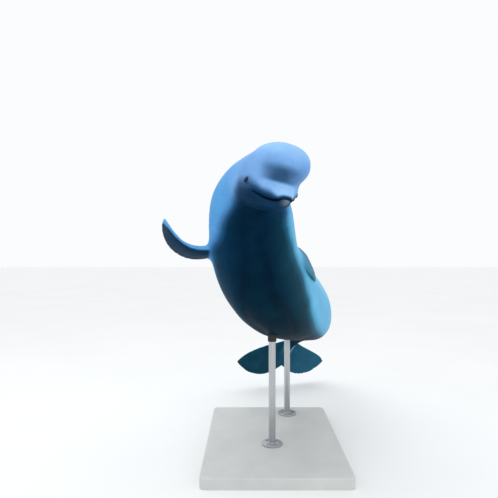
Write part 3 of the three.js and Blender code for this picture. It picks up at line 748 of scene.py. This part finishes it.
def connect(material, output, node, name):
    material.node_tree.links.new(output, node.inputs[name])


def add_noise(material, place, scale, detail, roughness=0.5):
    noise = add_node(
        material, "ShaderNodeTexNoise", Vector=place, Scale=scale, Detail=detail, Roughness=roughness
    )
    return noise.outputs["Fac"]


def add_math(material, operation, *values):
    """The result of an operation on values, which are numbers or outputs."""
    links = {f"i{i}": value for i, value in enumerate(values)}
    return add_node(material, "ShaderNodeMath", {"operation": operation}, **links).outputs[0]


def add_ramp(material, value, stops):
    """The colour that a value has on a ramp of stops."""
    ramp = add_node(material, "ShaderNodeValToRGB", Fac=value)
    elements = ramp.color_ramp.elements
    while len(elements) < len(stops):
        elements.new(0.5)
    for element, (place, color) in zip(elements, stops):
        element.position = place
        element.color = linear(color)
    return ramp.outputs["Color"]


def mix_colors(material, share, first, second):
    settings = {"data_type": "RGBA"}
    return add_node(material, "ShaderNodeMix", settings, i0=share, i6=first, i7=second).outputs[2]


def set_tones(material, shader, noise, low, high):
    """A base colour that goes from one tone to another with the noise."""
    stops = [(NOISE_LOW, low), (NOISE_HIGH, high)]
    connect(material, add_ramp(material, noise, stops), shader, "Base Color")


def set_roughness(material, shader, noise, low, high):
    """A roughness that goes from one value to another with the noise."""
    span = add_node(material, "ShaderNodeMapRange", i0=noise, i1=NOISE_LOW, i2=NOISE_HIGH, i3=low, i4=high)
    connect(material, span.outputs[0], shader, "Roughness")


def set_relief(material, shader, height, strength, distance):
    """Fine relief in the shading, its depth in metres."""
    bump = add_node(material, "ShaderNodeBump", Height=height, Strength=strength, Distance=distance)
    connect(material, bump.outputs[0], shader, "Normal")


# The skin's blues from dark to pale: the head's, the neck and chest's, and the rear body's
SKIN_STOPS = (0.0, 0.2, 0.4, 0.58, 0.76, 1.0)
HEAD_BLUES = ("#031e34", "#12395c", "#35597f", "#5b86b8", "#7fb0ea", "#a4d3fb")
CHEST_BLUES = ("#031e32", "#0c3350", "#25557f", "#467fb6", "#5aa1dc", "#86c2f0")
REAR_BLUES = ("#04202f", "#113a4b", "#275f78", "#4f9cc0", "#70bbe4", "#9adcf8")
# A grey painted as light on the lower lip's tip, and a near black blue painted as shade in the creases
LIP_TIP_LIGHT_GREY, CREASE_SHADE_BLUE = "#6d7f8c", "#051422"
# How far the mottling moves the tone, from the least noise to the most
MOTTLING = 0.2


def skin_material():
    """Smooth wet whale skin, matt rather than glossy: pale blue above with painted light, and near black blue
    below as painted shade, in three blues from the head's to the tail's, with soft mottling, shallow dimples
    and painted shade in the creases."""
    material, shader, place = new_material("wet_whale_skin")
    named = {
        name: add_node(material, "ShaderNodeAttribute", {"attribute_name": name}).outputs["Fac"]
        for name in ("tone", "headward", "tailward", "crease_shade", "lip_tip_light")
    }
    # Patches of 140 mm, wrinkles of 24 mm and dimples of 77 mm
    mottle = add_noise(material, place, scale=7.0, detail=5.0, roughness=0.6)
    wrinkle = add_noise(material, place, scale=42.0, detail=6.0, roughness=0.62)
    dimple = add_noise(material, place, scale=13.0, detail=3.0)
    shift = add_math(material, "MULTIPLY_ADD", mottle, MOTTLING, -MOTTLING / 2)
    tone = add_math(material, "ADD", named["tone"], shift)
    head, chest, rear = (
        add_ramp(material, tone, list(zip(SKIN_STOPS, blues)))
        for blues in (HEAD_BLUES, CHEST_BLUES, REAR_BLUES)
    )
    front = mix_colors(material, named["headward"], chest, head)
    body = mix_colors(material, named["tailward"], front, rear)
    # A painted highlight in grey on the lower lip's tip
    lip_lit = mix_colors(material, named["lip_tip_light"], body, linear(LIP_TIP_LIGHT_GREY))
    # Painted shade darkens the creases
    crease_shaded = mix_colors(material, named["crease_shade"], lip_lit, linear(CREASE_SHADE_BLUE))
    connect(material, crease_shaded, shader, "Base Color")
    set_roughness(material, shader, mottle, low=0.42, high=0.58)
    both = add_math(material, "ADD", wrinkle, dimple)
    set_relief(material, shader, both, strength=0.18, distance=0.004)
    shader.inputs["Specular IOR Level"].default_value = 0.05
    shader.inputs["Specular Tint"].default_value = linear("#7fb4e6")
    shader.inputs["IOR"].default_value = 1.4
    return material


# The eye's colours by how far a point looks out, from its equator to its pupil
EYE_STOPS = ((0.0, "#0c1014"), (0.62, "#0a0c0f"), (0.72, "#15120f"), (0.93, "#120e0c"), (0.965, "#030304"))
IRIS_WAVER = 0.03


def eye_material():
    """A whale's dark brown eye under a clear wet cornea: black pupil, brown iris and dark rim."""
    material, shader, place = new_material("wet_dark_eye")
    gaze = add_node(material, "ShaderNodeAttribute", {"attribute_name": "gaze"}).outputs["Fac"]
    # Streaks of 1 mm
    streaks = add_noise(material, place, scale=900.0, detail=3.0)
    wavy = add_math(material, "MULTIPLY_ADD", streaks, IRIS_WAVER, gaze)
    connect(material, add_ramp(material, wavy, EYE_STOPS), shader, "Base Color")
    shader.inputs["Roughness"].default_value = 0.2
    shader.inputs["Specular IOR Level"].default_value = 0.1
    shader.inputs["Coat Weight"].default_value = 0.15
    shader.inputs["Coat Roughness"].default_value = 0.05
    return material


def painted_steel():
    """Steel plate, sprayed light grey: satin, with the spray's fine orange peel and a little dust."""
    material, shader, place = new_material("sprayed_grey_steel")
    # Dust in patches of 290 mm, peel of 4.5 mm
    dust = add_noise(material, place, scale=3.5, detail=6.0, roughness=0.65)
    peel = add_noise(material, place, scale=220.0, detail=2.0)
    set_tones(material, shader, dust, low="#c3c5c4", high="#d0d2d0")
    set_roughness(material, shader, dust, low=0.38, high=0.52)
    set_relief(material, shader, peel, strength=0.12, distance=0.001)
    return material


def brushed_steel():
    """Stainless steel tube, brushed round its length: fine lines that spread the shine along the rod."""
    material, shader, place = new_material("brushed_stainless_steel")
    # Lines 1 mm apart along the rod and 170 mm long across it
    across = add_node(material, "ShaderNodeMapping", Vector=place, Scale=(6.0, 6.0, 900.0)).outputs[0]
    lines = add_noise(material, across, scale=1.0, detail=4.0, roughness=0.7)
    set_tones(material, shader, lines, low="#a9adb0", high="#c3c7ca")
    set_roughness(material, shader, lines, low=0.26, high=0.44)
    set_relief(material, shader, lines, strength=0.1, distance=0.0005)
    shader.inputs["Metallic"].default_value = 1.0
    return material


def black_rubber():
    """Moulded black rubber, matt with a fine grain, for the cuffs between the rods and the belly."""
    material, shader, place = new_material("moulded_black_rubber")
    # Grain of 3 mm
    grain = add_noise(material, place, scale=350.0, detail=2.0)
    set_tones(material, shader, grain, low="#1b1c1d", high="#27292a")
    set_relief(material, shader, grain, strength=0.2, distance=0.0005)
    shader.inputs["Roughness"].default_value = 0.7
    return material


def floor_material():
    """A plain pale studio floor, matt, with hardly seen clouds of 1.7 m."""
    material, shader, place = new_material("pale_studio_floor")
    cloud = add_noise(material, place, scale=0.6, detail=3.0)
    set_tones(material, shader, cloud, low="#f5f6f6", high="#f8f9f9")
    shader.inputs["Roughness"].default_value = 0.85
    shader.inputs["Specular IOR Level"].default_value = 0.1
    return material


def give_material(piece, material):
    piece.data.materials.clear()
    piece.data.materials.append(material)


# The pieces


def add_skin():
    """The one skin over all the flesh. It returns each eye's middle and directions, for the balls."""
    skin = make_base_skin()
    for wanted in (is_head, is_face, is_fine):
        refine(skin, wanted)
    mesh = skin.data
    points, normals = points_of(mesh), normals_of(mesh)
    points = points + normals * (skin_form(straightened(points)) * MM)[:, None]
    axes = {side: eye_axes(side, points, normals) for side in (-1, 1)}
    for side in axes:
        points = shape_lids(points, axes[side])
    set_points(mesh, points)
    paint(skin)
    make_active(skin)
    bpy.ops.object.shade_smooth()
    give_material(skin, skin_material())
    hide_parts(*FLESH)
    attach(skin, "root")
    return axes


# The ball is a hair smaller than its CAD node
BALL_SHARE = 0.985
BALL_SEGMENTS, BALL_RINGS = 48, 32


def add_eye(side, axes, material):
    """An eyeball turned to look straight out, with its gaze stored: 1 at the pupil, 0 at the equator."""
    name = "eye_left" if side > 0 else "eye_right"
    middle, out = axes[:2]
    low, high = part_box(name)
    radius = min(high - low) / 2 * BALL_SHARE
    bpy.ops.mesh.primitive_uv_sphere_add(segments=BALL_SEGMENTS, ring_count=BALL_RINGS, radius=radius)
    eye = bpy.context.object
    eye.name = eye.data.name = name.replace("eye", "eyeball")
    points = points_of(eye.data)
    gaze = points[:, 2] / radius
    turn = Vector((0, 0, 1)).rotation_difference(Vector(out)).to_matrix()
    set_points(eye.data, points @ np.array(turn).T + middle)
    set_attribute(eye.data, "gaze", gaze)
    bpy.ops.object.shade_smooth()
    give_material(eye, material)
    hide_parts(name)
    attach(eye, "root")


# The stand's sizes are in metres
ROD_SIDES, WASHER_SIDES, BOLT_SIDES = 64, 24, 6
ROD_BEVEL, FLANGE_BEVEL, WELD_BEVEL, CUFF_BEVEL = 0.002, 0.003, 0.004, 0.004
# The flange's top lies this far under the CAD flange's
FLANGE_UNDER = 0.0005
WELD_WIDTH, WELD_HEIGHT, WELD_SUNK = 0.006, 0.006, 0.004
BOLTS, FIRST_BOLT = 4, 45
BOLT_RADIUS, BOLT_HEIGHT, BOLT_CIRCLE, BOLT_BEVEL = 0.011, 0.008, 0.062, 0.0015
WASHER_SHARE, WASHER_HEIGHT, WASHER_SUNK, WASHER_BEVEL = 1.4, 0.0015, 0.002, 0.0005
CUFF_WALL, CUFF_BELOW, CUFF_INSIDE = 0.008, 0.045, 0.02
# Edges sharper than the first angle are rounded off, and those sharper than the second are shaded as edges
BEVEL_ANGLE, SHADE_ANGLE = math.radians(50), math.radians(35)


def add_turned(name, radius, low, high, x, y, bevel, sides=ROD_SIDES):
    """A round bar or disc about an upright axis, with both its edges rounded off."""
    bpy.ops.mesh.primitive_cylinder_add(
        vertices=sides, radius=radius, depth=high - low, location=(x, y, (low + high) / 2)
    )
    piece = bpy.context.object
    piece.name = piece.data.name = name
    bpy.ops.object.transform_apply(location=True, rotation=True, scale=True)
    apply_modifier(piece, "BEVEL", width=bevel, segments=3, limit_method="ANGLE", angle_limit=BEVEL_ANGLE)
    bpy.ops.object.shade_smooth_by_angle(angle=SHADE_ANGLE)
    return piece


def add_bolts(x, y, base):
    """Washers and bolts in a ring about (x, y), standing on the height of the base."""
    bolts = []
    for i in range(BOLTS):
        angle = math.radians(FIRST_BOLT + 360 / BOLTS * i)
        place = x + BOLT_CIRCLE * math.cos(angle), y + BOLT_CIRCLE * math.sin(angle)
        washer = add_turned("washer", BOLT_RADIUS * WASHER_SHARE, base - WASHER_SUNK,
                            base + WASHER_HEIGHT, *place, WASHER_BEVEL, WASHER_SIDES)
        bolt = add_turned("bolt", BOLT_RADIUS, base, base + BOLT_HEIGHT, *place, BOLT_BEVEL, BOLT_SIDES)
        bolts += [washer, bolt]
    return bolts


def add_rod(place, steel, rubber):
    """A rod up to the belly with its flange, weld and bolts, and a rubber cuff under the belly."""
    low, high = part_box("stand_rod_" + place)
    flange_low, flange_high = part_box("stand_flange_" + place)
    x, y = (low.x + high.x) / 2, (low.y + high.y) / 2
    radius = (high.x - low.x) / 2
    flange_radius = (flange_high.x - flange_low.x) / 2
    top = flange_high.z
    rod = add_turned("stand_tube_" + place, radius, low.z, high.z, x, y, ROD_BEVEL)
    flange = add_turned("flange", flange_radius, flange_low.z, top - FLANGE_UNDER, x, y, FLANGE_BEVEL)
    weld = add_turned("weld", radius + WELD_WIDTH, top - WELD_SUNK, top + WELD_HEIGHT, x, y, WELD_BEVEL)
    plate = join_as("stand_plate_" + place, [flange, weld, *add_bolts(x, y, top)])
    belly = TRUNK_TREE.ray_cast(Vector((x, y, top)), Vector((0, 0, 1)))[0].z
    cuff = add_turned("stand_cuff_" + place, radius + CUFF_WALL, belly - CUFF_BELOW, belly + CUFF_INSIDE,
                      x, y, CUFF_BEVEL)
    give_material(cuff, rubber)
    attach(cuff, "root")
    for piece, node in ((rod, "stand_rod_" + place), (plate, "stand_flange_" + place)):
        give_material(piece, steel)
        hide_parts(node)
        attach(piece, "root")


def dress_base(material):
    """The base keeps its CAD shape and takes a material."""
    for slot in NODES["stand_base"].material_slots:
        slot.material = material


# The studio

FLOOR_SIZE = 80
# Each light's name, place, target, width across in metres and power in watts
LIGHTS = (
    ("key", (-2.2, -0.6, 6.0), (0, -0.3, 1.4), 3.5, 55),
    ("fill", (2.5, -6.0, 3.5), (0, 0, 1.3), 4.0, 30),
)
WORLD_COLOR, WORLD_STRENGTH = "#fbfcfd", 1.0
# The camera looks level along +Y. Its focal length and its frame are in pixels of the photo
CAMERA_PLACE, CAMERA_TURN = (-0.2, -4.05, 1.68), (math.radians(90), 0, 0)
SENSOR_WIDTH, FOCAL_PIXELS, FRAME_PIXELS = 36, 474, 498


def add_floor():
    bpy.ops.mesh.primitive_plane_add(size=FLOOR_SIZE)
    floor = bpy.context.object
    floor.name = floor.data.name = "studio_floor"
    give_material(floor, floor_material())


def add_light(name, place, target, size, power):
    light = bpy.data.lights.new(name, "AREA")
    light.shape = "DISK"
    light.size = size
    light.energy = power
    lamp = bpy.data.objects.new(name, light)
    lamp.location = place
    lamp.rotation_euler = (Vector(target) - Vector(place)).to_track_quat("-Z", "Y").to_euler()
    bpy.context.scene.collection.objects.link(lamp)


def set_world():
    world = bpy.data.worlds.new("studio")
    world.use_nodes = True
    background = world.node_tree.nodes["Background"]
    background.inputs["Color"].default_value = linear(WORLD_COLOR)
    background.inputs["Strength"].default_value = WORLD_STRENGTH
    bpy.context.scene.world = world


def add_camera():
    camera = bpy.data.cameras.new("camera")
    camera.sensor_width = SENSOR_WIDTH
    camera.lens = SENSOR_WIDTH * FOCAL_PIXELS / FRAME_PIXELS
    holder = bpy.data.objects.new("camera", camera)
    holder.location = CAMERA_PLACE
    holder.rotation_euler = CAMERA_TURN
    bpy.context.scene.collection.objects.link(holder)
    bpy.context.scene.camera = holder


add_camera()
set_world()
for light_settings in LIGHTS:
    add_light(*light_settings)
add_floor()
eye_places = add_skin()
EYE_FINISH = eye_material()
for eye_side, eye_place in eye_places.items():
    add_eye(eye_side, eye_place, EYE_FINISH)
dress_base(painted_steel())
STEEL, RUBBER = brushed_steel(), black_rubber()
for rod_place in ("front", "rear"):
    add_rod(rod_place, STEEL, RUBBER)
bpy.context.scene.view_settings.view_transform = "Standard"
